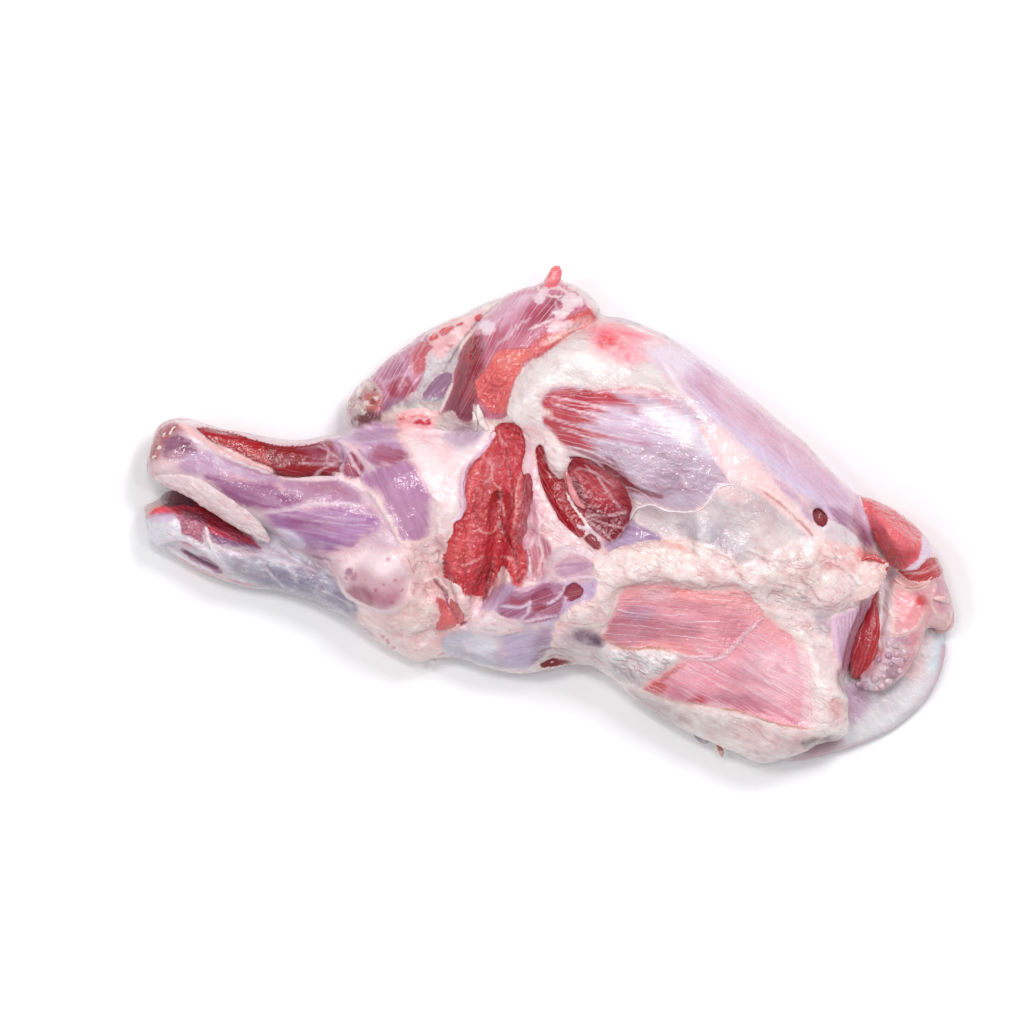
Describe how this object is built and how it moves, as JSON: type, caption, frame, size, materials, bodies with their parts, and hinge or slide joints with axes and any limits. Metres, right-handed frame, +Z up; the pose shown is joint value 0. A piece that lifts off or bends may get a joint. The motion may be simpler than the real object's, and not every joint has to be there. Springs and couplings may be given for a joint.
{
  "type": "raw lamb shoulder",
  "caption": "Raw lamb shoulder on the bone with its shank, lying rib side up: shank, neck flap, shoulder muscles, fat and blade cartilage.",
  "frame": {"origin": "middle of the bounding box at the height of the surface that the shoulder lies on", "axes": "+X from the shank towards the blade, +Y towards the neck flap, +Z up out of the rib side"},
  "size_m": [0.4052, 0.2462, 0.0791],
  "materials": {
    "meat": "moist raw meat under silverskin and fat",
    "cartilage": "smooth wet cartilage"
  },
  "bodies": {
    "root": {"shoulder_meat": "meat", "blade_cartilage": "cartilage"}
  },
  "joints": []
}
